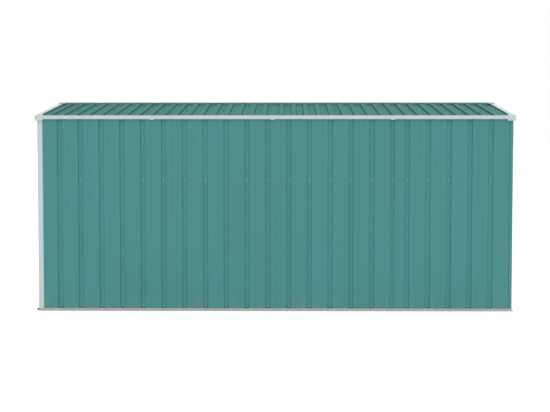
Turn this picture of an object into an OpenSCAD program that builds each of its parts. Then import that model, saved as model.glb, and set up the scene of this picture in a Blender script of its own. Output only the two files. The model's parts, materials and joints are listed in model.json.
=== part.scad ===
// Lean-to metal storage shed: folded steel sheets on a light galvanised frame.
// X runs along the building, Y from the low eave to the high edge, Z up.
// The origin is on the ground, at the centre of the overall box.

/* [Overall] */
// Length over the roof corner caps
overall_length = 3820; // [2800:10:5200]
// Depth over the roof corner caps
overall_depth = 1180; // [900:10:2000]
// Height of the high roof corners
overall_height = 1690; // [1640:5:2400]
// Height of the roof sheets' underside at the low eave
eave_height = 1551; // [1300:1:1600]
// Roof overhang past the low wall
eave_overhang = 25; // [15:1:120]
// Roof overhang past the high wall
high_overhang = 20; // [15:1:120]
// Roof overhang past each end wall
gable_overhang = 16; // [8:1:60]

/* [Sheets] */
// Thickness of the folded sheets
sheet_t = 0.8; // [0.5:0.1:1.5]
// Distance from groove to groove in a wall sheet
groove_pitch = 166; // [120:0.1:220]
// Width of a wall groove's flat bottom
groove_w = 35; // [20:1:60]
// Width of the slope on each side of a wall groove
groove_flank = 2.5; // [1.5:0.5:12]
// Depth of a wall groove
groove_depth = 10; // [4:0.5:14]
// Distance from groove to groove where the last sheet starts
last_sheet_step = 114.5; // [100:0.1:160]
// Bare sheet from the wall's end to its first groove
groove_margin = 176; // [140:1:230]
// Width of the shallow bead between two grooves
bead_w = 46; // [20:1:60]
// Width of the slope on each side of a bead
bead_flank = 2; // [1:0.5:8]
// Depth of the shallow bead
bead_depth = 1.5; // [0.4:0.1:3]
// Width by which two wall sheets overlap
sheet_lap = 24; // [10:1:34]
// Width of the end wall sheet turned round each corner
corner_return = 25; // [12:1:45]
// Distance from rib to rib in a roof sheet
rib_pitch = 101.1; // [80:0.1:130]
// Distance between the two ribs beside the roof's middle joint
mid_rib_gap = 140; // [120:1:200]
// Shift of the middle joint of the roof and of its trims from the centre
joint_shift = -20; // [-40:1:40]
// Height of a roof rib
rib_height = 12; // [6:1:20]
// Width of a roof rib's flat top
rib_top_w = 38; // [20:1:50]
// Width of the slope on each side of a roof rib
rib_flank = 5; // [2:1:14]

/* [Frame] */
// Thickness of the rolled rails and posts
rail_t = 1.2; // [0.8:0.1:2.5]
// Depth of the wall rails
rail_depth = 15; // [10:1:30]
// Height of the wall rails
rail_height = 40; // [25:1:60]
// Depth of the wall posts
post_depth = 30; // [20:1:60]
// Width of the wall posts and of the corner posts' legs
post_w = 40; // [30:1:70]
// Visible height of the base rail
base_lip = 23; // [12:1:40]
// Height of the base rail's inner flange
base_flange = 60; // [50:1:90]
// Diameter of the anchor holes in the long base rails' feet
anchor_hole_d = 9; // [5:0.5:14]
// Distance of the anchor holes from the end walls
anchor_inset = 300; // [150:10:500]
// Reach of the tabs at the corners of the blind end's base rail
tab_reach = 12; // [4:1:16]
// Width of those tabs
tab_w = 4; // [3:1:8]
// Height of those tabs
tab_height = 9; // [3:1:12]
// Height of the mid rail's centre line
mid_rail_z = 1055; // [700:1:1200]
// Height of the roof rafters and purlins
rafter_height = 25; // [18:1:45]
// Height of the end rafters
end_rafter_height = 40; // [25:1:60]
// Width of the roof rafters and purlins
rafter_w = 40; // [25:1:60]
// Number of bays between the end walls
bays = 4; // [2:1:6]

/* [Trims] */
// Thickness of the pale trims and of the roof corner caps
trim_t = 1; // [0.6:0.1:2]
// Height of the eave trim's face
eave_trim_height = 29; // [22:1:50]
// Depth of the eave trim's lip over the ends of the roof sheets
eave_lip = 10; // [4:1:16]
// Height of the seal between the ribs and the high trim
seal_height = 8; // [2:0.5:15]
// Width of the flange that laps the roof along its ends and high edge
trim_flange = 38; // [25:1:60]
// Drop of the end and high trims below the roof sheets
trim_drop = 17; // [12:1:60]
// Width of the roof corner caps
cap_w = 62; // [40:1:90]
// How far a cap hangs below the end trims
cap_drop = 9; // [3:1:20]
// Width of the clips over the trim joints
clip_w = 32; // [20:1:80]
// How far a clip hangs below its trim
clip_drop = 5; // [2:1:20]
// Distance between the trim joints
trim_joint_pitch = 956; // [800:1:1200]
// Width of the corner trims at the door end
corner_trim_w = 39; // [25:1:45]

/* [Door] */
// Width of each door frame jamb, with what the corner hides
jamb_w = 42; // [40:1:70]
// Drop of the door head's underside below the roof sheets at the eave
door_head_drop = 62; // [62:1:250]
// Height of the door head
head_height = 25; // [15:1:40]
// Lap of the door head's face over each jamb
head_lap = 2; // [1:0.5:4]
// Gap round the closed door leaves
door_gap = 3; // [2:0.5:8]
// Width of the frame round each leaf
leaf_frame_w = 32; // [20:1:60]
// Thickness of each leaf
leaf_t = 20; // [18:1:40]
// How far the leaf's sheet is set back in its frame
leaf_recess = 3; // [1:0.5:8]
// Height of the handles' centre
handle_z = 800; // [600:1:1100]
// Length of a handle
handle_length = 130; // [80:1:200]
// Width of a handle's grip
grip_w = 16; // [10:1:24]
// Thickness of a handle's grip
grip_t = 7; // [4:0.5:10]
// How far a handle stands out from its leaf
grip_reach = 15; // [12:0.5:17]
// Diameter of a hinge's knuckle
hinge_d = 8; // [6:1:14]
// Length of a hinge
hinge_length = 60; // [40:1:100]
// Distance of the outer hinges' centres from the leaf's ends
hinge_inset = 150; // [60:5:300]
// Width of a hinge's two plates together
hinge_plate_w = 31; // [20:1:40]
// Thickness of a hinge's plates
hinge_plate_t = 2; // [1:0.5:3]
// Diameter of the pivots at the foot of the door corners
pivot_d = 13; // [8:0.5:18]
// How far the pivots stand out from the base rail
pivot_reach = 14; // [4:1:15]

/* [Hidden] */
$fn = 32;

// Outer faces of the walls and clear planes inside them
end_face = overall_length / 2 - gable_overhang;
low_face = -overall_depth / 2 + eave_overhang;
high_face = overall_depth / 2 - high_overhang;
end_wall_mid = (low_face + high_face) / 2;
rail_v = groove_depth + sheet_t;
post_v = rail_v + rail_depth;
inner_v = post_v + post_depth;
lip_out = sheet_t + rail_t;

// Roof: heights of the trim flanges over the sheets, and the slope that gives the overall height
flange_n = rib_height + 2 * sheet_t;
high_flange_n = flange_n + seal_height;
roof_top_n = high_flange_n + 2 * trim_t;
roof_rise = overall_height - eave_height;
slope = acos(roof_top_n / norm([roof_rise, overall_depth])) - atan2(overall_depth, roof_rise);
roof_length = overall_depth / cos(slope);
sheet_start = (2 * trim_t + flange_n * sin(slope)) / cos(slope);
sheet_end = (overall_depth - 2 * trim_t) / cos(slope);
roof_edge = overall_length / 2 - trim_t;
roof_front = -overall_depth / 2 + trim_t;
roof_back = overall_depth / 2 - trim_t;
roof_clear = 3;
bay = 2 * end_face / bays;
bay_marks = [for (i = [1 : bays - 1]) -end_face + i * bay];
joint_marks = [for (i = [-1 : 1]) joint_shift + i * trim_joint_pitch];

// Ribs on each side of the roof's middle joint, counted from it: as many as fit inside the end trims
rib_reach = rib_top_w / 2 + rib_flank;
last_rib = floor((roof_edge - abs(joint_shift) - mid_rib_gap / 2 - rib_reach - trim_flange) / rib_pitch);
lap_rib = ceil(last_rib / 2);
joggle = 4;

// Height of the plane that lies n over the roof sheets' underside
function roof_z(y, n = 0) = eave_height + (y + overall_depth / 2) * tan(slope) + n / cos(slope);

// Top and bottom of the eave trim's face
eave_face_top = roof_z(roof_front, flange_n + trim_t);
eave_face_low = eave_face_top - eave_trim_height;

// Tops of the wall sheets and of the rails that carry the rafters
low_sheet_top = roof_z(low_face) - roof_clear;
high_sheet_top = roof_z(high_face - rail_v - sheet_t) - roof_clear;
low_leg_z = roof_z(low_face + rail_v, -rafter_height);
high_leg_z = roof_z(high_face - inner_v, -rafter_height);

// Grooves: the long walls' last sheet starts with a short step
long_grooves = 22;
last_sheet_grooves = 5;
first_groove = -end_face + groove_margin;
main_grooves = long_grooves - last_sheet_grooves;
last_first_groove = end_face - groove_margin - (last_sheet_grooves - 1) * groove_pitch;
groove_reach = groove_w / 2 + groove_flank;
main_pitch = (last_first_groove - last_sheet_step - first_groove) / (main_grooves - 1);
last_sheet_inset = 14; // from the middle of the fourth sheet's last groove to the fifth sheet's edge
last_sheet_edge = first_groove + (main_grooves - 1) * main_pitch + last_sheet_inset;
end_pitches = 6.55; // groove pitches between the returns of the blind end's sheets
end_pitch = (high_face - low_face - 2 * corner_return) / end_pitches;

// Door opening
opening_low = low_face + jamb_w;
opening_high = high_face - jamb_w;
door_head_z = eave_height - door_head_drop;
leaf_bottom = base_lip + door_gap;
leaf_top = door_head_z - door_gap;
leaf_w = (opening_high - opening_low - 3 * door_gap) / 2;
low_leaf_u = opening_low + door_gap;
high_leaf_u = opening_high - door_gap - leaf_w;

green = [0.31, 0.56, 0.55];
roof_green = [0.31, 0.51, 0.49];
pale = [0.82, 0.85, 0.85];
zinc = [0.65, 0.68, 0.70];
black = [0.1, 0.1, 0.1];

// ---- Outlines of folded sheet ----

// Left-hand unit normal of the segment from a to b
function seg_normal(a, b) = let (d = (b - a) / norm(b - a)) [-d[1], d[0]];

// The path moved sideways by t, with mitred corners
function side_path(p, t) = let (last = len(p) - 2) [
    for (i = [0 : len(p) - 1])
        let (
            i0 = max(i - 1, 0),
            i1 = min(i, last),
            n0 = seg_normal(p[i0], p[i0 + 1]),
            n1 = seg_normal(p[i1], p[i1 + 1])
        )
        p[i] + (n0 + n1) * t / (1 + n0 * n1)
];

// Closed outline of a sheet of thickness t folded along a path
function folded(p, t) = let (q = side_path(p, t), last = len(p) - 1)
    concat(p, [for (i = [last : -1 : 0]) q[i]]);

// A wall groove centred on c, and the shallow bead halfway to the next one
function groove(c) = [
    [c - groove_reach, 0], [c - groove_w / 2, groove_depth],
    [c + groove_w / 2, groove_depth], [c + groove_reach, 0]
];
function bead(c) = [
    [c - bead_w / 2, 0], [c - bead_w / 2 + bead_flank, bead_depth],
    [c + bead_w / 2 - bead_flank, bead_depth], [c + bead_w / 2, 0]
];

// The half grooves where one sheet laps over the next
function lap_start(c) = [
    [c - sheet_lap / 2, groove_depth - sheet_t], [c + groove_w / 2, groove_depth - sheet_t], [c + groove_reach, 0]
];
function lap_end(c) = [
    [c - groove_reach, 0], [c - groove_w / 2, groove_depth], [c + sheet_lap / 2, groove_depth]
];

// Grooves and beads at first, first + pitch, ... for the inner grooves from i0 to i1
function run(first, pitch, i0, i1) = [
    for (i = [i0 : i1]) each concat(groove(first + i * pitch), i < i1 ? bead(first + (i + 0.5) * pitch) : [])
];

// A rib of the roof sheet centred on c, with its underside on n = 0
function rib(c) = [
    [c - rib_reach, 0], [c - rib_top_w / 2, rib_height], [c + rib_top_w / 2, rib_height], [c + rib_reach, 0]
];

// The part ribs where one roof sheet laps over the next
function rib_lap_start(c) = [
    [c - rib_top_w / 2, rib_height + sheet_t], [c + rib_top_w / 2, rib_height + sheet_t], [c + rib_reach, 0]
];
function rib_lap_end(c) = [
    [c - rib_reach, 0], [c - rib_top_w / 2, rib_height], [c + rib_top_w / 2, rib_height]
];

// Place of rib k on one side of the middle joint, and the ribs from k0 to k1 on that side
function rib_x(side, k) = joint_shift + side * (mid_rib_gap / 2 + k * rib_pitch);
function ribs(side, k0, k1) = [for (k = [k0 : side : k1]) each rib(rib_x(side, k))];

// ---- Places ----

// Each wall's own space: x along it, y inward from its outer face, z up
module on_low_wall() translate([0, low_face, 0]) children();
module on_high_wall() translate([0, high_face, 0]) mirror([0, 1, 0]) children();
module on_blind_end() translate([end_face, 0, 0]) rotate([0, 0, 90]) children();
module on_door_end() mirror([1, 0, 0]) on_blind_end() children();

// The roof's own space: y up the slope from the eave, z square to the sheets
module on_roof() translate([0, -overall_depth / 2, eave_height]) rotate([slope, 0, 0]) children();

// An outline in Y and Z, drawn along X from x0 to x1
module along_x(x0, x1) translate([x0, 0, 0]) rotate([90, 0, 90]) linear_extrude(x1 - x0) children();

// A box between two corners
module block(a, b) translate(a) cube(b - a);

// Everything lower than n over the roof sheets' underside, between two planes square to Y
module under_roof(n, y0, y1)
    along_x(-overall_length, overall_length)
        polygon([[y0, -1], [y1, -1], [y1, roof_z(y1, n)], [y0, roof_z(y0, n)]]);

// A folded sheet that stands upright from z0 to z1
module upright_sheet(path, z0, z1) translate([0, 0, z0]) linear_extrude(z1 - z0) polygon(folded(path, sheet_t));

// ---- Walls ----

// Sheet i of five in a long wall, from its own groove to the next sheet's
module long_wall_panel(i, top) {
    per_sheet = (main_grooves - 1) / 4;
    i0 = i * per_sheet;
    i1 = i0 + per_sheet;
    seam = first_groove + (main_grooves - 1) * main_pitch;
    left = i == 0
        ? concat([[-end_face, 0]], run(first_groove, main_pitch, 0, 0), bead(first_groove + main_pitch / 2))
        : concat(lap_start(first_groove + i0 * main_pitch), bead(first_groove + (i0 + 0.5) * main_pitch));
    right = i == 3
        ? [[seam - groove_reach, 0], [seam - groove_w / 2, groove_depth], [seam + groove_w / 2, groove_depth],
            [seam + groove_reach, sheet_t], [seam + groove_reach + sheet_lap, sheet_t]]
        : lap_end(first_groove + i1 * main_pitch);
    path = i < 4
        ? concat(left, run(first_groove, main_pitch, i0 + 1, i1 - 1),
            bead(first_groove + (i1 - 0.5) * main_pitch), right)
        : concat([[last_sheet_edge, 0]], run(last_first_groove, groove_pitch, 0, last_sheet_grooves - 1),
            [[end_face - sheet_t, 0]]);
    upright_sheet(path, rail_t, top);
}

module low_wall_panel(i) color(green) on_low_wall() long_wall_panel(i, low_sheet_top);
module high_wall_panel(i) color(green) on_high_wall() long_wall_panel(i, high_sheet_top);

// One of the two sheets of the blind end, turned round its corner and cut to the roof's slope
module blind_end_panel(i) {
    corner = i == 0 ? low_face - sheet_t : high_face + sheet_t;
    turned = [[corner, corner_return], [corner, 0]];
    path = i == 0
        ? concat(turned, run(end_wall_mid, end_pitch, -3, -1), bead(end_wall_mid - end_pitch / 2),
            lap_end(end_wall_mid))
        : concat(lap_start(end_wall_mid), bead(end_wall_mid + end_pitch / 2), run(end_wall_mid, end_pitch, 1, 3),
            [turned[1], turned[0]]);
    color(green) intersection() {
        on_blind_end() upright_sheet(path, rail_t, overall_height);
        under_roof(-roof_clear, low_face - sheet_t, high_face + sheet_t);
    }
}

// The sheet over the door, from the frame's head up to the roof
module door_head_panel() {
    path = concat([[low_face + rail_v, 0]], run(end_wall_mid, end_pitch, -2, 2), [[high_face - rail_v, 0]]);
    color(green) intersection() {
        on_door_end() upright_sheet(path, door_head_z + rail_t, overall_height);
        under_roof(-roof_clear, low_face, high_face);
    }
}

// ---- Frame ----

// Outline on the ground of the base rail of one wall, mitred at its two corners
module mitred(u0, u1) {
    reach = inner_v + lip_out;
    linear_extrude(base_flange)
        polygon([[u0 - lip_out, -lip_out], [u1 + lip_out, -lip_out],
            [u1 + lip_out - reach, inner_v], [u0 - lip_out + reach, inner_v]]);
}

// Base rail from u0 to u1: foot, outer lip and inner flange that stops at the corner posts
module base_rail(u0, u1, flange_h, inset) color(zinc) union() {
    intersection() {
        mitred(u0, u1);
        union() {
            block([u0 - lip_out, -lip_out, 0], [u1 + lip_out, inner_v, rail_t]);
            block([u0 - lip_out, -lip_out, 0], [u1 + lip_out, -sheet_t, base_lip]);
        }
    }
    block([u0 + inset, rail_v, 0], [u1 - inset, rail_v + rail_t, flange_h]);
}

// Base rail of a long wall, with an anchor hole near each end
module long_base_rail() {
    hole_v = (rail_v + rail_t + inner_v) / 2;
    color(zinc) difference() {
        base_rail(-end_face, end_face, base_flange, post_v);
        for (x = [-1, 1] * (end_face - anchor_inset))
            translate([x, hole_v, -1]) cylinder(d = anchor_hole_d, h = rail_t + 2);
    }
}

module low_base_rail() on_low_wall() long_base_rail();
module high_base_rail() on_high_wall() long_base_rail();

// Base rail of the blind end, with a tab outside each corner
module blind_end_base_rail() color(zinc) on_blind_end() union() {
    base_rail(low_face, high_face, base_flange, rail_v);
    for (u = [low_face - lip_out, high_face + lip_out - tab_w])
        block([u, -lip_out - tab_reach, 0], [u + tab_w, -lip_out, tab_height]);
}

module door_end_base_rail() on_door_end() base_rail(low_face, high_face, base_lip, jamb_w);

// Top rail of a long wall: upright flange, lower leg and the leg that caps the posts
module top_rail(leg_z, top) {
    half = end_face - post_v;
    color(zinc) union() {
        block([-half, rail_v, leg_z - rail_height], [half, rail_v + rail_t, top]);
        block([-half, rail_v, leg_z - rail_height], [half, post_v, leg_z - rail_height + rail_t]);
        block([-half, rail_v, leg_z - rail_t], [half, inner_v, leg_z]);
    }
}

module low_top_rail() on_low_wall() top_rail(low_leg_z, low_sheet_top - roof_clear);
module high_top_rail() on_high_wall() top_rail(high_leg_z, high_sheet_top - roof_clear);

// Mid rail from u0 to u1: a channel open to the inside
module mid_rail(u0, u1) {
    z0 = mid_rail_z - rail_height / 2;
    difference() {
        block([u0, rail_v, z0], [u1, post_v, z0 + rail_height]);
        block([u0 - 1, rail_v + rail_t, z0 + rail_t], [u1 + 1, post_v + 1, z0 + rail_height - rail_t]);
    }
}

module mid_rails() color(zinc) {
    half = end_face - post_v;
    on_low_wall() mid_rail(-half, half);
    on_high_wall() mid_rail(-half, half);
    on_blind_end() mid_rail(low_face + post_v, high_face - post_v);
}

// Angle posts in the four corners, on the foot of the base rails
module corner_posts() color(zinc) {
    for (side = [-1, 1]) {
        corner_x = end_face - post_v;
        corner_post(side * corner_x, -side, low_face + post_v, 1, low_leg_z - rail_t);
        corner_post(side * corner_x, -side, high_face - post_v, -1, high_leg_z - rail_t);
    }
}

module corner_post(x, dx, y, dy, top)
    translate([x, y, rail_t]) mirror([dx < 0 ? 1 : 0, 0, 0]) mirror([0, dy < 0 ? 1 : 0, 0])
        linear_extrude(top - rail_t)
            difference() {
                square(post_w);
                translate([rail_t, rail_t]) square(post_w);
            }

// Channel posts at the bays of both long walls
module wall_posts() color(zinc) {
    for (x = bay_marks) {
        on_low_wall() channel_post(x, low_leg_z - rail_t);
        on_high_wall() channel_post(x, high_leg_z - rail_t);
    }
}

module channel_post(x, top)
    difference() {
        block([x - post_w / 2, post_v, rail_t], [x + post_w / 2, inner_v, top]);
        block([x - post_w / 2 + rail_t, post_v + rail_t, 0], [x + post_w / 2 - rail_t, inner_v + 1, top + 1]);
    }

// Channel section rafters, open downward, between the long walls' top rails
module channel_bar(x0, x1, y0, y1, height)
    difference() {
        block([x0, y0, -height], [x1, y1, 0]);
        block([x0 + rail_t, y0 - 1, -height - 1], [x1 - rail_t, y1 + 1, -rail_t]);
    }

module roof_rafters() color(zinc) {
    y0 = low_face + rail_v + rail_t;
    y1 = high_face - rail_v - rail_t;
    for (x = bay_marks) intersection() {
        on_roof() channel_bar(x - rafter_w / 2, x + rafter_w / 2, -overall_depth, 2 * overall_depth, rafter_height);
        block([x - rafter_w, y0, 0], [x + rafter_w, y1, overall_height]);
    }
}

// The two rafters that carry the ends of the roof and the tops of the end walls
module end_rafters() color(zinc) {
    outer = end_face - rail_v;
    inner = end_face - post_v;
    for (side = [0, 1]) mirror([side, 0, 0]) intersection() {
        on_roof() difference() {
            block([inner, -overall_depth, -end_rafter_height], [outer, 2 * overall_depth, 0]);
            block([inner - 1, -overall_depth - 1, rail_t - end_rafter_height],
                [outer - rail_t, 2 * overall_depth + 1, -rail_t]);
        }
        block([inner, low_face + rail_v, 0], [outer, high_face - rail_v, overall_height]);
    }
}

// A purlin halfway up the roof, in one length for each bay
module roof_purlins() color(zinc) {
    mid = roof_length / 2;
    half = rafter_w / 2;
    ends = concat([-end_face + post_v], [for (x = bay_marks) each [x - half, x + half]], [end_face - post_v]);
    for (i = [0 : bays - 1]) on_roof()
        translate([ends[2 * i], mid - half, 0]) difference() {
            block([0, 0, -rafter_height], [ends[2 * i + 1] - ends[2 * i], rafter_w, 0]);
            block([-1, rail_t, -rafter_height - 1], [overall_length, rafter_w - rail_t, -rail_t]);
        }
}

// ---- Roof ----

// The four sheets of the roof: those of one half lap over a rib, and the halves lap in the middle
roof_paths = [
    concat([[trim_t - roof_edge, 0]], ribs(-1, last_rib, lap_rib + 1), rib_lap_end(rib_x(-1, lap_rib))),
    concat(rib_lap_start(rib_x(-1, lap_rib)), ribs(-1, lap_rib - 1, 0), [[joint_shift + sheet_lap, 0]]),
    concat([[joint_shift, sheet_t], [joint_shift + sheet_lap, sheet_t], [joint_shift + sheet_lap + joggle, 0]],
        ribs(1, 0, lap_rib - 1), rib_lap_end(rib_x(1, lap_rib))),
    concat(rib_lap_start(rib_x(1, lap_rib)), ribs(1, lap_rib + 1, last_rib), [[roof_edge - trim_t, 0]])
];

module roof_panel(i) color(roof_green) on_roof()
    translate([0, sheet_end, 0]) rotate([90, 0, 0])
        linear_extrude(sheet_end - sheet_start) polygon(folded(roof_paths[i], sheet_t));

// Pale channel round the sheets' lower edge: a face, a lip over the ribs and a leg under the sheets
module eave_trim() {
    lip_y = roof_front + eave_lip;
    leg_y = roof_front + eave_overhang - trim_t;
    path = [[roof_front, eave_face_low], [roof_front, eave_face_top], [lip_y, roof_z(lip_y, flange_n + trim_t)]];
    leg = [for (n = [0, -trim_t]) [roof_z(roof_front, n), roof_z(leg_y, n)]];
    color(pale) along_x(trim_flange - overall_length / 2, overall_length / 2 - trim_flange) union() {
        polygon(folded(path, -trim_t));
        polygon([[roof_front, leg[0][0]], [leg_y, leg[0][1]], [leg_y, leg[1][1]], [roof_front, leg[1][0]]]);
    }
}

// Pale angle over the sheets' upper edge
module high_trim() {
    half = overall_length / 2 - trim_flange;
    front = overall_depth / 2 - trim_flange;
    path = [[roof_back, roof_z(roof_back) - trim_drop], [roof_back, roof_z(roof_back, high_flange_n + trim_t)],
        [front, roof_z(front, high_flange_n + trim_t)]];
    color(pale) along_x(-half, half) polygon(folded(path, trim_t));
}

// Pale angle over the sheets' side edge, up the slope
module roof_end_trim() {
    top = flange_n + trim_t;
    flange_x = overall_length / 2 - trim_flange;
    color(pale) intersection() {
        on_roof() union() {
            block([flange_x, -overall_depth, flange_n], [roof_edge, 2 * overall_depth, top]);
            block([roof_edge - trim_t, -overall_depth, -trim_drop], [roof_edge, 2 * overall_depth, top]);
        }
        block([flange_x, roof_front, 0], [roof_edge, roof_back, overall_height]);
    }
}

module blind_end_roof_trim() roof_end_trim();
module door_end_roof_trim() mirror([1, 0, 0]) roof_end_trim();

// Caps over the four corners of the roof
module roof_corner_caps() color(pale)
    for (side = [0, 1]) mirror([side, 0, 0]) {
        corner_cap(-1);
        corner_cap(1);
    }

module corner_cap(dir) {
    outer_y = dir * overall_depth / 2;
    inner_y = outer_y - dir * cap_w;
    skin_y = outer_y - dir * trim_t;
    low_edge = -trim_drop - cap_drop;
    under = (dir < 0 ? flange_n : high_flange_n) + trim_t;
    x0 = overall_length / 2 - cap_w;
    difference() {
        along_x(x0, overall_length / 2)
            polygon([[outer_y, roof_z(outer_y, low_edge)], [outer_y, roof_z(outer_y, under + trim_t)],
                [inner_y, roof_z(inner_y, under + trim_t)], [inner_y, roof_z(inner_y, low_edge)]]);
        along_x(x0 - 1, overall_length / 2 - trim_t)
            polygon([[skin_y, 0], [skin_y, roof_z(skin_y, under)],
                [inner_y - dir, roof_z(inner_y - dir, under)], [inner_y - dir, 0]]);
    }
}

// Clips over the joints of the eave trim and of the high trim
module trim_clips() color(pale) for (x = joint_marks) {
    high_front = overall_depth / 2 - trim_flange;
    eave_clip = [[roof_front - trim_t, eave_face_low - clip_drop], [roof_front - trim_t, eave_face_top]];
    high_clip = [[roof_back + trim_t, roof_z(roof_back) - trim_drop - clip_drop],
        [roof_back + trim_t, roof_z(roof_back + trim_t, roof_top_n)], [high_front, roof_z(high_front, roof_top_n)]];
    along_x(x - clip_w / 2, x + clip_w / 2) polygon(folded(eave_clip, -trim_t));
    along_x(x - clip_w / 2, x + clip_w / 2) polygon(folded(high_clip, trim_t));
}

// ---- Door end ----

// Pale angle round a corner of the door end, cut to the roof's slope
module corner_trim() {
    path = [[-end_face + corner_trim_w, -sheet_t], [-end_face - sheet_t, -sheet_t],
        [-end_face - sheet_t, jamb_w - head_lap]];
    translate([0, 0, rail_t]) linear_extrude(overall_height) polygon(folded(path, -sheet_t));
}

module low_corner_trim() color(pale) intersection() {
    on_low_wall() corner_trim();
    under_roof(-roof_clear, low_face - lip_out, high_face + lip_out);
}

module high_corner_trim() color(pale) intersection() {
    on_high_wall() corner_trim();
    under_roof(-roof_clear, low_face - lip_out, high_face + lip_out);
}

// Jambs and head of the door opening, on the foot of the base rail
module door_frame() color(pale) intersection() {
    on_door_end() union() {
        jamb(low_face + rail_v, opening_low);
        jamb(opening_high, high_face - rail_v);
        block([opening_low, rail_v, door_head_z], [opening_high, rail_v + rail_t, door_head_z + head_height]);
        block([opening_low, -sheet_t, door_head_z], [opening_high, post_v, door_head_z + rail_t]);
        block([opening_low - head_lap, -sheet_t, door_head_z], [opening_high + head_lap, 0, door_head_z + head_height]);
    }
    under_roof(-end_rafter_height, low_face, high_face);
}

module jamb(u0, u1)
    difference() {
        block([u0, 0, rail_t], [u1, post_v, overall_height]);
        block([u0 + rail_t, rail_t, 0], [u1 - rail_t, post_v - rail_t, overall_height + 1]);
        block([u0 - 1, -1, door_head_z + rail_t], [u1 + 1, rail_v, overall_height + 1]);
    }

// Frame round one leaf of the door, from u0 to u0 + leaf_w
module leaf_frame(u0) color(pale) on_door_end() difference() {
    block([u0, -sheet_t, leaf_bottom], [u0 + leaf_w, leaf_t - sheet_t, leaf_top]);
    block([u0 + leaf_frame_w, -sheet_t - 1, leaf_bottom + leaf_frame_w],
        [u0 + leaf_w - leaf_frame_w, leaf_t + 1, leaf_top - leaf_frame_w]);
}

// Grooved sheet that fills the frame of one leaf
module leaf_panel(u0) {
    left = u0 + leaf_frame_w;
    right = u0 + leaf_w - leaf_frame_w;
    mid = (left + right) / 2;
    path = concat([[left, 0]], run(mid, end_pitch, -1, 1), [[right, 0]]);
    color(green) on_door_end() translate([0, leaf_recess, 0])
        upright_sheet(path, leaf_bottom + leaf_frame_w, leaf_top - leaf_frame_w);
}

module low_leaf_panel() leaf_panel(low_leaf_u);
module low_leaf_frame() leaf_frame(low_leaf_u);
module high_leaf_panel() leaf_panel(high_leaf_u);
module high_leaf_frame() leaf_frame(high_leaf_u);

// Three hinges for each leaf, at its outer edge
module door_hinges() color(zinc) on_door_end()
    for (z = [leaf_bottom + hinge_inset, (leaf_bottom + leaf_top) / 2, leaf_top - hinge_inset]) {
        hinge(opening_low, z);
        hinge(opening_high, z);
    }

module hinge(u, z)
    translate([u, -sheet_t, z - hinge_length / 2]) {
        translate([0, -hinge_d / 2, 0]) cylinder(d = hinge_d, h = hinge_length);
        block([-hinge_plate_w / 2, -hinge_plate_t, 0], [hinge_plate_w / 2, 0, hinge_length]);
    }

// A bow handle near the meeting edge of each leaf
module door_handles() color(black) on_door_end() {
    bow_handle(low_leaf_u + leaf_w - leaf_frame_w / 2);
    bow_handle(high_leaf_u + leaf_frame_w / 2);
}

module bow_handle(u)
    translate([u - grip_w / 2, -sheet_t, handle_z - handle_length / 2]) difference() {
        block([0, -grip_reach, 0], [grip_w, 0, handle_length]);
        block([-1, grip_t - grip_reach, 2 * grip_t], [grip_w + 1, 1, handle_length - 2 * grip_t]);
    }

// Black pivot blocks at the foot of both door corners
module door_pivots() color(black) on_door_end()
    for (u = [low_face + corner_trim_w / 2, high_face - corner_trim_w / 2])
        translate([u, -lip_out, base_lip / 2]) rotate([90, 0, 0]) cylinder(d = pivot_d, h = pivot_reach);

low_wall_panel(0);  // low_wall_panel_1
low_wall_panel(1);  // low_wall_panel_2
low_wall_panel(2);  // low_wall_panel_3
low_wall_panel(3);  // low_wall_panel_4
low_wall_panel(4);  // low_wall_panel_5
high_wall_panel(0);  // high_wall_panel_1
high_wall_panel(1);  // high_wall_panel_2
high_wall_panel(2);  // high_wall_panel_3
high_wall_panel(3);  // high_wall_panel_4
high_wall_panel(4);  // high_wall_panel_5
blind_end_panel(0);  // blind_end_panel_1
blind_end_panel(1);  // blind_end_panel_2
door_head_panel();
low_base_rail();
high_base_rail();
door_end_base_rail();
blind_end_base_rail();
low_top_rail();
high_top_rail();
mid_rails();
corner_posts();
wall_posts();
end_rafters();
roof_rafters();
roof_purlins();
roof_panel(0);  // roof_panel_1
roof_panel(1);  // roof_panel_2
roof_panel(2);  // roof_panel_3
roof_panel(3);  // roof_panel_4
eave_trim();
high_trim();
door_end_roof_trim();
blind_end_roof_trim();
roof_corner_caps();
trim_clips();
low_corner_trim();
high_corner_trim();
door_frame();
low_leaf_panel();
low_leaf_frame();
high_leaf_panel();
high_leaf_frame();
door_hinges();
door_handles();
door_pivots();
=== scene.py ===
"""Looks of the lean-to metal storage shed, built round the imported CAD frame. Metres throughout."""

import json
import math
import random

import bmesh
import bpy
from mathutils import Matrix, Vector


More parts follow.
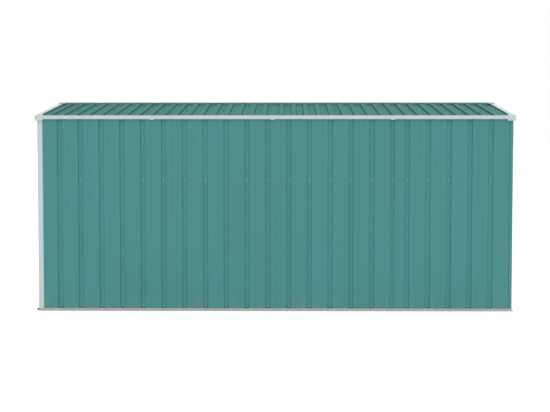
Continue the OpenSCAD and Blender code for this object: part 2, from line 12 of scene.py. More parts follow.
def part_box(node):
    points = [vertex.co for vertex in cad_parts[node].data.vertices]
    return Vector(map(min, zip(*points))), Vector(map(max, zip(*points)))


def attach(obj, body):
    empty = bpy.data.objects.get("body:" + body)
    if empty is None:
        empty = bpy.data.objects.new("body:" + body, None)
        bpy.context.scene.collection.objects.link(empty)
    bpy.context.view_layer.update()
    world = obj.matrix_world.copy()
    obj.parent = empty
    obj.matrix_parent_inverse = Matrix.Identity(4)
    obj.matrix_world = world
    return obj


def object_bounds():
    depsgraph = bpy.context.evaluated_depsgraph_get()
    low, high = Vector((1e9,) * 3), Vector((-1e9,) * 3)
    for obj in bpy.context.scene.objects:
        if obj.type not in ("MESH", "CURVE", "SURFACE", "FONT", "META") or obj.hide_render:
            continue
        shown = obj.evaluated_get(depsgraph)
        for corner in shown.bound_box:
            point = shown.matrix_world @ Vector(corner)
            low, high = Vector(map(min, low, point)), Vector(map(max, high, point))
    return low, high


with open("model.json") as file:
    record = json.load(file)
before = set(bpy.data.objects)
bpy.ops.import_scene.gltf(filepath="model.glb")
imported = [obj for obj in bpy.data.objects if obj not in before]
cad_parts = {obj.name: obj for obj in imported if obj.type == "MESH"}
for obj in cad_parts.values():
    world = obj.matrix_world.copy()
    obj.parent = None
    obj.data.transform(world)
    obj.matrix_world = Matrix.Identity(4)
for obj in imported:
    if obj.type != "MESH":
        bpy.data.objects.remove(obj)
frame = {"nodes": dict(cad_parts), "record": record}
cad_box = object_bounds()
NODES = frame["nodes"]
random.seed(7)

# ---- Sizes of what is added here ----

SCREW_ROWS = (0.042, 1.055)  # heights of the screw rows in the walls
HEAD_SCREW_UP = 0.012  # from the foot of the sheet over the door
ROOF_SCREW_STEP = 3  # one roof screw in every third pan
EAVE_SCREW_IN = 0.045  # from the roof sheets' lower edge
HIGH_SCREW_IN = 0.06  # from their upper edge
END_RIVETS = 5  # along each end trim
END_RIVET_MARGIN = 0.12  # share of the slope left bare at each end of the row
CAP_RIVET_IN = 0.022
ROUND_SIDES = 20
HEX_SIDES = 6
RIVET_SIDES = 14
WASHER_R = 0.0065
WASHER_H = 0.0014
FLANGE_R = 0.0056
FLANGE_H = 0.0012
HEX_R = 0.0043
HEX_H = 0.0046
RIVET_R = 0.0032
RIVET_H = 0.0013
RIVET_DOME = (0.0, 0.5, 0.95, 1.3)  # angles over the foot of the dome's rings
FOAM_DEPTH = 0.012
FOAM_SETBACK = 0.003
FOAM_SHORT = 0.05  # how much shorter than the slope the foam under an end trim is
SHEET_T = 0.0008
TRIM_T = 0.001
SEAM_STRIP_W = 0.0035
SEAM_STRIP_FOOT = 0.024
LIP_SETBACK = 0.001
COLLAR_R = 0.0082
COLLAR_H = 0.008
COLLAR_PROUD = 0.001
COLLAR_SIDES = 28
HINGE_SCREW_IN = 0.0055
LEAF_RIVET_STEP = 0.24
LEAF_RIVET_OUT = 0.012
HANDLE_SCREW_IN = 0.007
LOCK_R = 0.013
LOCK_H = 0.0025
LOCK_DROP = 0.05  # below the handles
LOCK_SIDES = 32
BARREL_SIDES = 28
KEYWAY_T = 0.0002
FITTINGS_APART = 0.1
HANDLES_APART = 0.005
RIB_TOP = 0.0136  # upper face of a rib where two sheets lap, over the sheets' underside
ON_PLANE = 0.00015  # a vertex this near to a plane lies on it
SAME_PLACE = 0.0004  # places closer than this are one
GROOVES_APART = 0.02
RIB_CORNERS_APART = 0.003
AT_EDGE = 0.001

# ---- Reading the frame ----


def vertices(*names):
    """Every vertex of these CAD nodes."""
    return [v.co.copy() for name in names for v in NODES[name].data.vertices]


def numbered(prefix):
    """The CAD nodes called prefix_1, prefix_2, ... in order."""
    return sorted(name for name in NODES if name.startswith(prefix + "_") and name[-1].isdigit())


def distinct(values, gap=SAME_PLACE):
    """The values in order, without repeats closer than gap."""
    found = []
    for value in sorted(values):
        if not found or value - found[-1] > gap:
            found.append(value)
    return found


def groove_centres(names, along, across, depth_plane, groove_w):
    """Places along a wall of its grooves, read from the vertices on the plane of the groove bottoms."""
    centres = []
    for name in names:
        on_plane = [v[along] for v in vertices(name) if abs(v[across] - depth_plane) < ON_PLANE]
        edges = distinct(on_plane)
        centres += [left + groove_w / 2 for left in edges[::2]]
    return distinct(centres, GROOVES_APART)


LOW_SHEETS = numbered("low_wall_panel")
HIGH_SHEETS = numbered("high_wall_panel")
END_SHEETS = numbered("blind_end_panel")
ROOF_SHEETS = numbered("roof_panel")

low_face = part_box(LOW_SHEETS[0])[0].y
high_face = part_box(HIGH_SHEETS[0])[1].y
end_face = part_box(END_SHEETS[0])[1].x
groove_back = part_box(LOW_SHEETS[0])[1].y - low_face
groove_depth = groove_back - SHEET_T
low_bottom_edges = distinct(
    v.x for v in vertices(LOW_SHEETS[0]) if abs(v.y - low_face - groove_depth) < ON_PLANE
)
groove_w = low_bottom_edges[1] - low_bottom_edges[0]
wall_grooves = groove_centres(LOW_SHEETS, 0, 1, low_face + groove_depth, groove_w)
end_grooves = groove_centres(END_SHEETS, 1, 0, end_face - groove_depth, groove_w)
head_grooves = groove_centres(["door_head_panel"], 1, 0, -end_face + groove_depth, groove_w)
wall_mid_y = (low_face + high_face) / 2


def clumps(points, axis, gap):
    """The points in groups that lie further apart than gap along one axis."""
    groups = []
    for point in sorted(points, key=lambda p: p[axis]):
        if groups and point[axis] - groups[-1][-1][axis] < gap:
            groups[-1].append(point)
        else:
            groups.append([point])
    return groups


def widest_up_face(name):
    """Normal of the largest face that looks upward."""
    faces = [p for p in NODES[name].data.polygons if p.normal.z > 0.9]
    return max(faces, key=lambda p: p.area).normal.copy()


class Roof:
    """The sloping roof's own space: x along the building, s up the slope, n square to the sheets."""

    def __init__(self):
        normal = widest_up_face("high_trim")
        self.slope = math.atan2(-normal.y, normal.z)
        self.up = Vector((0, math.cos(self.slope), math.sin(self.slope)))
        self.out = Vector((0, -math.sin(self.slope), math.cos(self.slope)))
        sheet = vertices(*ROOF_SHEETS)
        self.base = min(v.dot(self.out) for v in sheet)
        self.s0 = min(v.dot(self.up) for v in sheet)
        self.length = max(v.dot(self.up) for v in sheet) - self.s0
        self.end_flange = self.under_flange("blind_end_roof_trim")
        self.high_flange = self.under_flange("high_trim")
        self.ribs = self.find_ribs()

    def under_flange(self, name):
        """Height over the sheets' underside of the lower face of a trim's flange."""
        return max(v.dot(self.out) for v in vertices(name)) - self.base - TRIM_T

    def find_ribs(self):
        """Each rib's (left foot, left of the top, right of the top, right foot) on the sheets' upper face."""
        corners = []
        for name in ROOF_SHEETS:
            for v in vertices(name):
                if v.dot(self.up) - self.s0 < AT_EDGE:
                    corners.append((v.x, v.dot(self.out) - self.base))
        top = max(n for x, n in corners) - 2.5 * SHEET_T
        tops = distinct((x for x, n in corners if n > top), RIB_CORNERS_APART)
        lefts, rights = tops[::2], tops[1::2]
        feet = sorted(x for x, n in corners if n < 0.5 * SHEET_T)
        ribs = []
        for left, right in zip(lefts, rights):
            foot_left = max((x for x in feet if x < left), default=left)
            foot_right = min((x for x in feet if x > right), default=right)
            reach = min(left - foot_left, foot_right - right)
            ribs.append((left - reach, left, right, right + reach))
        return ribs

    def point(self, x, s, n):
        """The point x along the building, s up from the sheets' lower edge, n over their underside."""
        return self.up * (self.s0 + s) + self.out * (self.base + n) + Vector((x, 0, 0))

    def profile(self, x0, x1):
        """(x, n) corners of the sheets' upper face from x0 to x1."""
        line = [(x0, SHEET_T)]
        for foot_left, left, right, foot_right in self.ribs:
            line += [(foot_left, SHEET_T), (left, RIB_TOP), (right, RIB_TOP), (foot_right, SHEET_T)]
        return line + [(x1, SHEET_T)]


roof = Roof()

# ---- Camera: straight on to the low side, at eye height, looking a little down ----

SENSOR_MM = 36
LENS_MM = 87.3164
VIEW_END = 200
CAMERA_AT = Vector((0.115, cad_box[0].y - 10.606, 1.494))
CAMERA_YAW = math.radians(0.616)
CAMERA_PITCH = math.radians(3.495)


def make_camera():
    data = bpy.data.cameras.new("camera")
    data.sensor_width = SENSOR_MM
    data.lens = LENS_MM
    data.clip_end = VIEW_END
    camera = bpy.data.objects.new("camera", data)
    camera.location = CAMERA_AT
    camera.rotation_euler = (math.pi / 2 - CAMERA_PITCH, 0, CAMERA_YAW)
    bpy.context.scene.collection.objects.link(camera)
    bpy.context.scene.camera = camera


make_camera()

# ---- Materials ----


UP_WALL_STREAKS = (22.0, 22.0, 0.5)
UP_SLOPE_STREAKS = (22.0, 0.7, 22.0)
DUST = (0.23, 0.24, 0.22)
DUST_TOP = 0.16  # no dust above this height
STEEP, LEVEL = 0.55, 0.95  # upward part of the normal of a steep and of a level face; the painted top light fades in between them


class Shader:
    """A node material being built: it adds nodes and joins their sockets."""

    def __init__(self, name):
        self.material = bpy.data.materials.new(name)
        self.material.use_nodes = True
        self.tree = self.material.node_tree
        self.surface = self.tree.nodes["Principled BSDF"]
        self.place = self.node("ShaderNodeTexCoord").outputs["Object"]

    def node(self, kind, **settings):
        made = self.tree.nodes.new(kind)
        for key, value in settings.items():
            setattr(made, key, value)
        return made

    def join(self, source, target):
        self.tree.links.new(source, target)

    def stretched(self, scale):
        """Object coordinates scaled on each axis."""
        mapping = self.node("ShaderNodeMapping")
        mapping.inputs["Scale"].default_value = scale
        self.join(self.place, mapping.inputs["Vector"])
        return mapping.outputs["Vector"]

    def noise(self, scale, detail=2.0, stretch=None):
        made = self.node("ShaderNodeTexNoise")
        made.inputs["Scale"].default_value = scale
        made.inputs["Detail"].default_value = detail
        self.join(self.stretched(stretch) if stretch else self.place, made.inputs["Vector"])
        return made.outputs["Fac"]

    def ranged(self, value, low, high, from_low=0.0, from_high=1.0):
        made = self.node("ShaderNodeMapRange")
        made.inputs["From Min"].default_value = from_low
        made.inputs["From Max"].default_value = from_high
        made.inputs["To Min"].default_value = low
        made.inputs["To Max"].default_value = high
        self.join(value, made.inputs["Value"])
        return made.outputs["Result"]

    def math(self, operation, a, b):
        made = self.node("ShaderNodeMath", operation=operation)
        for socket, value in zip(made.inputs, (a, b)):
            if isinstance(value, (int, float)):
                socket.default_value = value
            else:
                self.join(value, socket)
        return made.outputs[0]

    def mix(self, factor, a, b, blend="MIX"):
        made = self.node("ShaderNodeMix", data_type="RGBA", blend_type=blend)
        colours = [s for s in made.inputs if s.type == "RGBA"]
        for socket, value in zip((made.inputs["Factor"], *colours), (factor, a, b)):
            if isinstance(value, (int, float)):
                socket.default_value = value
            elif isinstance(value, tuple):
                socket.default_value = (*value, 1)
            else:
                self.join(value, socket)
        return next(s for s in made.outputs if s.type == "RGBA")

    def height(self):
        """The point's height over the ground."""
        made = self.node("ShaderNodeSeparateXYZ")
        self.join(self.place, made.inputs["Vector"])
        return made.outputs["Z"]

    def levelness(self):
        """0 on upright and steep faces, 1 on faces that look up."""
        made = self.node("ShaderNodeSeparateXYZ")
        self.join(self.node("ShaderNodeTexCoord").outputs["Normal"], made.inputs["Vector"])
        return self.ranged(made.outputs["Z"], 0.0, 1.0, STEEP, LEVEL)

    def bump(self, height, strength, distance, below=None):
        made = self.node("ShaderNodeBump")
        made.inputs["Strength"].default_value = strength
        made.inputs["Distance"].default_value = distance
        self.join(height, made.inputs["Height"])
        if below:
            self.join(below, made.inputs["Normal"])
        return made.outputs["Normal"]


def shade(colour, factor):
    return tuple(c * factor for c in colour)


def coated_sheet(name, colour, roughness, streak=UP_WALL_STREAKS, dust=DUST, gloss=0.5, top_light=1.0):
    """Paint on folded sheet: slow changes of tone, fine streaks, orange peel and dust at the foot.

    Faces that look up are painted lighter by a given factor: painted top light, a highlight that stands in
    for the light falling on them from above.
    """
    s = Shader(name)
    cloudy = s.mix(s.noise(1.3, 3.0), shade(colour, 0.93), shade(colour, 1.07))
    streaks = s.ranged(s.noise(1.0, 4.0, streak), 0.92, 1.08)
    grey = s.node("ShaderNodeCombineColor")
    # painted highlight: faces that look up are made lighter, as if lit from above
    painted_top_light = s.ranged(s.levelness(), 1.0, top_light)
    tone = s.math("MULTIPLY", streaks, painted_top_light)
    for channel in ("Red", "Green", "Blue"):
        s.join(tone, grey.inputs[channel])
    toned = s.mix(1.0, cloudy, grey.outputs["Color"], "MULTIPLY")
    near_ground = s.ranged(s.height(), 1.0, 0.0, 0.0, DUST_TOP)
    dusty = s.math("MULTIPLY", near_ground, s.ranged(s.noise(9.0, 5.0), 0.0, 0.25, 0.35, 0.75))
    s.join(s.mix(dusty, toned, dust), s.surface.inputs["Base Color"])
    rough = s.ranged(s.noise(5.0, 4.0), roughness - 0.05, roughness + 0.07)
    s.join(rough, s.surface.inputs["Roughness"])
    peel = s.bump(s.noise(650.0, 2.0), 0.12, 0.0004)
    panned = s.bump(s.noise(2.2, 1.0, (1.6, 1.6, 0.7)), 0.25, 0.004, peel)
    s.join(panned, s.surface.inputs["Normal"])
    s.surface.inputs["Specular IOR Level"].default_value = gloss
    return s.material


def galvanised(name, colour, roughness):
    """Zinc coat: crystal spangle, each grain a little lighter or duller, and faint rolling lines."""
    s = Shader(name)
    grains = s.node("ShaderNodeTexVoronoi")
    grains.inputs["Scale"].default_value = 90.0
    s.join(s.place, grains.inputs["Vector"])
    tone = s.node("ShaderNodeSeparateColor")
    s.join(grains.outputs["Color"], tone.inputs["Color"])
    spangle = s.mix(tone.outputs["Red"], shade(colour, 0.86), shade(colour, 1.12))
    clouds = s.mix(s.ranged(s.noise(6.0, 4.0), 0.0, 0.35, 0.3, 0.8), spangle, shade(colour, 0.8))
    s.join(clouds, s.surface.inputs["Base Color"])
    s.join(s.ranged(tone.outputs["Green"], roughness - 0.08, roughness + 0.1), s.surface.inputs["Roughness"])
    s.surface.inputs["Metallic"].default_value = 0.75
    s.join(s.bump(s.noise(420.0, 3.0), 0.15, 0.0003), s.surface.inputs["Normal"])
    return s.material


def moulded(name, colour, roughness):
    """Black plastic or rubber with a fine grain."""
    s = Shader(name)
    worn = s.mix(s.ranged(s.noise(60.0, 4.0), 0.0, 1.0, 0.35, 0.7), colour, shade(colour, 1.9))
    s.join(worn, s.surface.inputs["Base Color"])
    s.join(s.ranged(s.noise(30.0, 2.0), roughness - 0.06, roughness + 0.06), s.surface.inputs["Roughness"])
    s.join(s.bump(s.noise(1800.0, 2.0), 0.3, 0.0002), s.surface.inputs["Normal"])
    return s.material


WALL = coated_sheet("wall_paint", (0.043, 0.221, 0.221), 0.45, gloss=0.4)
# On the roof and the pale trims the last factor paints upward faces lighter than steep ones: a painted
# highlight that also makes the rib flanks look darker
ROOF = coated_sheet("roof_paint", (0.0205, 0.150, 0.136), 0.65, UP_SLOPE_STREAKS, gloss=0.2, top_light=1.84)
PALE = coated_sheet("pale_paint", (0.485, 0.545, 0.553), 0.3, dust=(0.42, 0.41, 0.38), top_light=1.55)
SCREW_PAINT = coated_sheet("screw_paint", (0.24, 0.47, 0.47), 0.4)
ROOF_SCREW_PAINT = coated_sheet("roof_screw_paint", (0.045, 0.23, 0.21), 0.5, gloss=0.3)
ZINC = galvanised("zinc_coat", (0.38, 0.39, 0.40), 0.45)
BRIGHT_ZINC = galvanised("zinc_plate", (0.74, 0.76, 0.77), 0.3)
BLACK = moulded("black_plastic", (0.012, 0.012, 0.013), 0.5)
RUBBER = moulded("grey_rubber", (0.05, 0.055, 0.055), 0.75)
# foam closures' colour: partly the foam's own colour, partly painted shade for the shadowed gaps under the
# trims
FOAM_AND_SHADE = moulded("foam_painted_shade", (0.13, 0.20, 0.19), 0.9)
# painted shadow: a dark strip for the shadow line along the corner seams
SEAM_SHADOW = moulded("seam_shadow_paint", (0.012, 0.045, 0.043), 0.6)

SLOT_MATERIAL = {
    "wall_sheet": WALL,
    "roof_sheet": ROOF,
    "pale_trim": PALE,
    "galvanised": ZINC,
    "black_plastic": BLACK,
}


def dress_nodes():
    """Gives every CAD node the material of its slot in the record."""
    for part in frame["record"]["subparts"]:
        mesh = NODES[part["node"]].data
        mesh.materials.clear()
        mesh.materials.append(SLOT_MATERIAL[part["material_slot"]])


dress_nodes()

# ---- Small pieces ----


def piece(name, mesh_builder, materials):
    """A new mesh that rides on the shed, with its faces' material numbers set by the builder."""
    mesh = bpy.data.meshes.new(name)
    bm = bmesh.new()
    mesh_builder(bm)
    bmesh.ops.recalc_face_normals(bm, faces=bm.faces)
    bm.to_mesh(mesh)
    bm.free()
    for material in materials:
        mesh.materials.append(material)
    made = bpy.data.objects.new(name, mesh)
    bpy.context.scene.collection.objects.link(made)
    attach(made, "root")
    return made


def facing(outward, spin=0.0):
    """Rotation that turns +Z to outward, after a spin about it."""
    turn = Vector(outward).to_track_quat("Z", "Y").to_matrix()
    return turn @ Matrix.Rotation(spin, 3, "Z")


def ring(bm, at, turn, radius, height, sides):
    """A ring of vertices round the local Z axis."""
    return [
        bm.verts.new(
            at + turn @ Vector((radius * math.cos(a), radius * math.sin(a), height))
        )
        for a in (2 * math.pi * k / sides for k in range(sides))
    ]


def turned(bm, at, turn, profile, sides, index, smooth=True):
    """A solid of revolution closed at both ends; profile is (radius, height) from the foot to the top."""
    rings = [ring(bm, at, turn, r, h, sides) for r, h in profile]
    faces = [bm.faces.new(rings[0][::-1]), bm.faces.new(rings[-1])]
    for low, high in zip(rings, rings[1:]):
        for k in range(sides):
            j = (k + 1) % sides
            face = bm.faces.new((low[k], low[j], high[j], high[k]))
            face.smooth = smooth
            faces.append(face)
    for face in faces:
        face.material_index = index


def screw(bm, at, outward):
    """A hexagon-headed sheet screw with its flange and sealing washer, foot at the sheet's face."""
    turn = facing(outward, random.uniform(0, math.pi))
    washer = [(WASHER_R, 0), (WASHER_R, WASHER_H * 0.7), (WASHER_R * 0.85, WASHER_H)]
    turned(bm, at, turn, washer, ROUND_SIDES, 1)
    seat = WASHER_H
    cup = [(FLANGE_R, seat), (FLANGE_R, seat + FLANGE_H * 0.6), (HEX_R * 1.05, seat + FLANGE_H)]
    turned(bm, at, turn, cup, ROUND_SIDES, 0)
    top = seat + FLANGE_H
    crown = [(HEX_R * 0.86, top + HEX_H), (HEX_R * 0.5, top + HEX_H * 0.93)]
    head = [(HEX_R, top), (HEX_R, top + HEX_H * 0.8)] + crown
    turned(bm, at, turn, head, HEX_SIDES, 0, smooth=False)


def rivet(bm, at, outward):
    """A low domed rivet."""
    dome = [(RIVET_R * math.cos(a), RIVET_H * math.sin(a)) for a in RIVET_DOME]
    turned(bm, at, facing(outward), dome, RIVET_SIDES, 0)


def row_of_screws(name, places, paint=SCREW_PAINT):
    """One piece that holds a screw at each (point, outward direction)."""

    def build(bm):
        for at, outward in places:
            screw(bm, Vector(at), outward)

    return piece(name, build, [paint, RUBBER])


def wall_screws():
    """Screws in every groove of the walls, at the base rail and at the mid rail."""
    low = [((x, low_face + groove_depth, z), (0, -1, 0)) for z in SCREW_ROWS for x in wall_grooves]
    high = [((x, high_face - groove_depth, z), (0, 1, 0)) for z in SCREW_ROWS for x in wall_grooves]
    end = [((end_face - groove_depth, y, z), (1, 0, 0)) for z in SCREW_ROWS for y in end_grooves]
    row_of_screws("low_wall_screws", low)
    row_of_screws("high_wall_screws", high)
    row_of_screws("blind_end_screws", end)


def head_screws():
    """Screws through the sheet over the door, into the head of the frame."""
    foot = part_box("door_head_panel")[0].z
    rows = [((-end_face + groove_depth, y, foot + HEAD_SCREW_UP), (-1, 0, 0)) for y in head_grooves]
    row_of_screws("door_head_screws", rows)


def roof_screws():
    """Screws in the pans near the eave, at the purlin and near the high edge."""
    pans = [(a[3] + b[0]) / 2 for a, b in zip(roof.ribs, roof.ribs[1:])]
    chosen = pans[1::ROOF_SCREW_STEP]
    rows = (EAVE_SCREW_IN, roof.length / 2, roof.length - HIGH_SCREW_IN)
    places = [(roof.point(x, s, SHEET_T), roof.out) for s in rows for x in chosen]
    row_of_screws("roof_screws", places, ROOF_SCREW_PAINT)


def rivets_on_trims():
    """Rivets along the end trims and on the corner caps."""

    def build(bm):
        low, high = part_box("blind_end_roof_trim")
        flange_x = (low.x + high.x) / 2
        top = roof.end_flange + TRIM_T
        high_top = roof.high_flange + 2 * TRIM_T
        span = 1 - 2 * END_RIVET_MARGIN
        for side in (-1, 1):
            for k in range(END_RIVETS):
                s = roof.length * (END_RIVET_MARGIN + span * k / (END_RIVETS - 1))
                rivet(bm, roof.point(side * flange_x, s, top), roof.out)
            rivet(bm, roof.point(side * flange_x, CAP_RIVET_IN, top + TRIM_T), roof.out)
            rivet(bm, roof.point(side * flange_x, roof.length - CAP_RIVET_IN, high_top), roof.out)

    piece("trim_rivets", build, [BRIGHT_ZINC])


def prism(bm, outline, offset):
    """A closed prism from an outline and the same outline moved by offset."""
    near = [bm.verts.new(p) for p in outline]
    far = [bm.verts.new(p + offset) for p in outline]
    bm.faces.new(near[::-1])
    bm.faces.new(far)
    for k in range(len(near)):
        j = (k + 1) % len(near)
        bm.faces.new((near[k], near[j], far[j], far[k]))


def foam_closures():
    """Foam closure strips that fill the gap under the high trim and lie under the end trims; their dark
    colour is painted shade that stands in for the shadow in these gaps.
    """
    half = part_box("high_trim")[1].x
    flange_n = roof.base + roof.high_flange

    def under_high_trim(bm):
        flange = [v.dot(roof.up) for v in vertices("high_trim") if v.dot(roof.out) > flange_n]
        s = min(flange) - roof.s0 + FOAM_SETBACK
        line = roof.profile(-half, half)
        for (x0, n0), (x1, n1) in zip(line, line[1:]):
            outline = [
                roof.point(x0, s, n0), roof.point(x1, s, n1),
                roof.point(x1, s, roof.high_flange), roof.point(x0, s, roof.high_flange),
            ]
            prism(bm, outline, roof.up * FOAM_DEPTH)

    def under_end_trims(bm):
        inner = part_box("blind_end_roof_trim")[0].x + FOAM_SETBACK
        for side in (-1, 1):
            near, far = side * inner, side * (inner + FOAM_DEPTH)
            corners = ((near, SHEET_T), (far, SHEET_T), (far, roof.end_flange), (near, roof.end_flange))
            outline = [roof.point(x, FOAM_SETBACK, n) for x, n in corners]
            prism(bm, outline, roof.up * (roof.length - FOAM_SHORT))

    piece("high_edge_foam", under_high_trim, [FOAM_AND_SHADE])
    piece("roof_end_foam", under_end_trims, [FOAM_AND_SHADE])


def cap_lips():
    """Pale folds that close the front of the two high corner caps, down to the end trims."""
    cap_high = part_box("roof_corner_caps")[1]
    trim_low, trim_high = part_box("blind_end_roof_trim")
    high_caps = [v for v in vertices("roof_corner_caps") if v.y > wall_mid_y]
    tops = [v for v in high_caps if v.dot(roof.out) - roof.base > roof.high_flange]
    s = min(v.dot(roof.up) for v in tops) - roof.s0 + LIP_SETBACK
    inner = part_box("high_trim")[1].x
    cap_w = cap_high.y - min(v.y for v in high_caps)
    low = roof.end_flange + TRIM_T
    top = roof.high_flange + TRIM_T

    def build(bm):
        for side in (-1, 1):
            for x0, x1, foot in ((trim_low.x, trim_high.x, low), (cap_high.x - cap_w, inner, RIB_TOP)):
                corners = ((x0, foot), (x1, foot), (x1, top), (x0, top))
                prism(bm, [roof.point(side * x, s, n) for x, n in corners], roof.up * TRIM_T)

    piece("cap_lips", build, [PALE])


def seam_shadow_strips():
    """A dark strip along the edge of the blind end's sheets, where they turn onto the long walls: painted
    shade that stands in for the shadow line at this seam.
    """
    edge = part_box(END_SHEETS[0])[0].x

    def build(bm):
        for face, out in ((low_face, -1), (high_face, 1)):
            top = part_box(LOW_SHEETS[0] if out < 0 else HIGH_SHEETS[0])[1].z
            low = Vector((edge - SEAM_STRIP_W, face, SEAM_STRIP_FOOT))
            across = Vector((SEAM_STRIP_W, 0, 0))
            proud = Vector((0, out * SHEET_T, 0))
            outline = [low, low + across, low + across + proud, low + proud]
            prism(bm, outline, Vector((0, 0, top - SEAM_STRIP_FOOT)))

    piece("seam_shadow_strips", build, [SEAM_SHADOW])


def pivot_collars():
    """A black collar round the outer end of each pivot."""

    def build(bm):
        for pivot in clumps(vertices("door_pivots"), 1, FITTINGS_APART):
            y = sum(v.y for v in pivot) / len(pivot)
            z = sum(v.z for v in pivot) / len(pivot)
            outer = min(v.x for v in pivot)
            at = Vector((outer + COLLAR_H - COLLAR_PROUD, y, z))
            rim = [(COLLAR_R, 0), (COLLAR_R, COLLAR_H * 0.8), (COLLAR_R * 0.86, COLLAR_H)]
            turned(bm, at, facing((-1, 0, 0)), rim, COLLAR_SIDES, 0)

    piece("pivot_collars", build, [BLACK])


def hinge_screws():
    """Four round-headed screws in each hinge, two through each plate."""

    def build(bm):
        for level in clumps(vertices("door_hinges"), 2, FITTINGS_APART):
            for hinge in clumps(level, 1, FITTINGS_APART):
                y0, y1 = min(v.y for v in hinge), max(v.y for v in hinge)
                z0, z1 = min(v.z for v in hinge), max(v.z for v in hinge)
                plate = min(v.x for v in hinge if v.y < y0 + AT_EDGE)
                for y in (y0 + HINGE_SCREW_IN, y1 - HINGE_SCREW_IN):
                    for z in (z0 + 2 * HINGE_SCREW_IN, z1 - 2 * HINGE_SCREW_IN):
                        rivet(bm, Vector((plate, y, z)), (-1, 0, 0))

    piece("hinge_screws", build, [BRIGHT_ZINC])


def leaf_rivets():
    """Rivets that hold the sheet in the frame of each leaf."""

    def build(bm):
        for leaf in ("low_leaf", "high_leaf"):
            low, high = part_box(leaf + "_panel")
            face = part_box(leaf + "_frame")[0].x
            count = round((high.z - low.z) / LEAF_RIVET_STEP)
            for k in range(count + 1):
                z = low.z + (high.z - low.z) * k / count
                for y in (low.y - LEAF_RIVET_OUT, high.y + LEAF_RIVET_OUT):
                    rivet(bm, Vector((face, y, z)), (-1, 0, 0))
            for y in (low.y + (high.y - low.y) / 3, low.y + 2 * (high.y - low.y) / 3):
                for z in (low.z - LEAF_RIVET_OUT, high.z + LEAF_RIVET_OUT):
                    rivet(bm, Vector((face, y, z)), (-1, 0, 0))

    piece("leaf_rivets", build, [BRIGHT_ZINC])


def handle_screws():
    """A screw head at each end of the two handles' grips."""

    def build(bm):
        for handle in clumps(vertices("door_handles"), 1, HANDLES_APART):
            outer = min(v.x for v in handle)
            y = (min(v.y for v in handle) + max(v.y for v in handle)) / 2
            z0, z1 = min(v.z for v in handle), max(v.z for v in handle)
            for z in (z0 + HANDLE_SCREW_IN, z1 - HANDLE_SCREW_IN):
                rivet(bm, Vector((outer, y, z)), (-1, 0, 0))

    piece("handle_screws", build, [BRIGHT_ZINC])


def door_lock():
    """A round cam lock with a keyway in the high leaf, under its handle."""
    sheet_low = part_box("high_leaf_panel")[0]
    frame_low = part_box("high_leaf_frame")[0]
    stile_mid = (frame_low.y + sheet_low.y) / 2
    centre = Vector((frame_low.x, stile_mid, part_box("door_handles")[0].z - LOCK_DROP))
    barrel_r = LOCK_R * 0.55
    barrel_h = LOCK_H * 2.6
    slot_w = LOCK_R * 0.12
    slot_h = LOCK_R * 0.36

    def build(bm):
        turn = facing((-1, 0, 0))
        plate = [(LOCK_R, 0), (LOCK_R, LOCK_H * 0.5), (LOCK_R * 0.88, LOCK_H)]
        turned(bm, centre, turn, plate, LOCK_SIDES, 0)
        barrel = [(barrel_r, LOCK_H), (barrel_r, LOCK_H * 2.2), (LOCK_R * 0.48, barrel_h)]
        turned(bm, centre, turn, barrel, BARREL_SIDES, 0)
        face = centre - Vector((barrel_h, 0, 0))
        corners = ((-slot_w, -slot_h), (slot_w, -slot_h), (slot_w, slot_h), (-slot_w, slot_h))
        outline = [face + Vector((0, y, z)) for y, z in corners]
        before = len(bm.faces)
        prism(bm, outline, Vector((-KEYWAY_T, 0, 0)))
        bm.faces.ensure_lookup_table()
        for made in bm.faces[before:]:
            made.material_index = 1

    piece("door_lock", build, [BRIGHT_ZINC, BLACK])


wall_screws()
head_screws()
cap_lips()
pivot_collars()
hinge_screws()
leaf_rivets()
handle_screws()
door_lock()
seam_shadow_strips()
roof_screws()
rivets_on_trims()
foam_closures()

# ---- Stage and light ----

FLOOR_SIZE = 160.0
FLOOR_GLOW = 0.6
SKY_OVERHEAD = 0.5
SKY_HORIZON = 1.0
SKY_SIDES = 0.75  # how much of the sky's light is left straight out from the ends
SKY_FADE = (0.16, 0.45)  # upward part of the direction where the horizon's light fades
SIDE_FADE = (0.3, 0.9)  # sideways part of the direction where the sides' light fades
KEY_STRENGTH = 0.75
KEY_TOWARDS = (0.05, 0.85, -0.53)
KEY_SPREAD = 35
BACK_STRENGTH = 0.5
BACK_TOWARDS = (-0.3, -0.6, -0.74)
BACK_SPREAD = 60


def make_floor():
    s = Shader("floor")
    tone = s.mix(s.noise(0.8, 3.0), (0.90, 0.90, 0.90), (0.93, 0.93, 0.93))
    s.join(tone, s.surface.inputs["Base Color"])
    s.join(tone, s.surface.inputs["Emission Color"])
    s.surface.inputs["Emission Strength"].default_value = FLOOR_GLOW
    s.surface.inputs["Roughness"].default_value = 0.9
    s.surface.inputs["Specular IOR Level"].default_value = 0.0
    bpy.ops.mesh.primitive_plane_add(size=FLOOR_SIZE)
    floor = bpy.context.object
    floor.name = "floor"
    floor.data.materials.append(s.material)


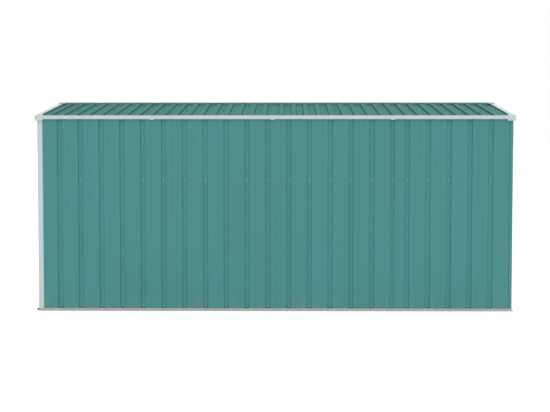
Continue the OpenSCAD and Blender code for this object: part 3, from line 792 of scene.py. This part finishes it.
def soft_sun(name, towards, spread, strength):
    """A wide, soft light as from a very large softbox, shining towards this direction."""
    data = bpy.data.lights.new(name, "SUN")
    data.angle = math.radians(spread)
    data.energy = strength
    light = bpy.data.objects.new(name, data)
    light.rotation_euler = Vector(towards).to_track_quat("-Z", "Y").to_euler()
    bpy.context.scene.collection.objects.link(light)


def smooth_step(tree, value, source, target):
    """A smooth change from target[0] to target[1] as the value goes from source[0] to source[1]."""
    made = tree.nodes.new("ShaderNodeMapRange")
    made.interpolation_type = "SMOOTHSTEP"
    made.inputs["From Min"].default_value = source[0]
    made.inputs["From Max"].default_value = source[1]
    made.inputs["To Min"].default_value = target[0]
    made.inputs["To Max"].default_value = target[1]
    tree.links.new(value, made.inputs["Value"])
    return made.outputs["Result"]


def make_world():
    """White round the horizon and dimmer overhead, like a studio cove."""
    world = bpy.data.worlds.new("world")
    world.use_nodes = True
    tree = world.node_tree
    direction = tree.nodes.new("ShaderNodeTexCoord").outputs["Generated"]
    axes = tree.nodes.new("ShaderNodeSeparateXYZ")
    tree.links.new(direction, axes.inputs["Vector"])
    fade = smooth_step(tree, axes.outputs["Z"], SKY_FADE, (SKY_HORIZON, SKY_OVERHEAD))
    sideways = tree.nodes.new("ShaderNodeMath")
    sideways.operation = "ABSOLUTE"
    tree.links.new(axes.outputs["X"], sideways.inputs[0])
    dim = smooth_step(tree, sideways.outputs[0], SIDE_FADE, (1.0, SKY_SIDES))
    strength = tree.nodes.new("ShaderNodeMath")
    strength.operation = "MULTIPLY"
    tree.links.new(fade, strength.inputs[0])
    tree.links.new(dim, strength.inputs[1])
    background = tree.nodes["Background"]
    background.inputs["Color"].default_value = (1, 1, 1, 1)
    tree.links.new(strength.outputs[0], background.inputs["Strength"])
    bpy.context.scene.world = world


def make_light():
    soft_sun("key", KEY_TOWARDS, KEY_SPREAD, KEY_STRENGTH)
    soft_sun("back", BACK_TOWARDS, BACK_SPREAD, BACK_STRENGTH)
    bpy.context.scene.view_settings.view_transform = "Standard"


make_floor()
make_world()
make_light()
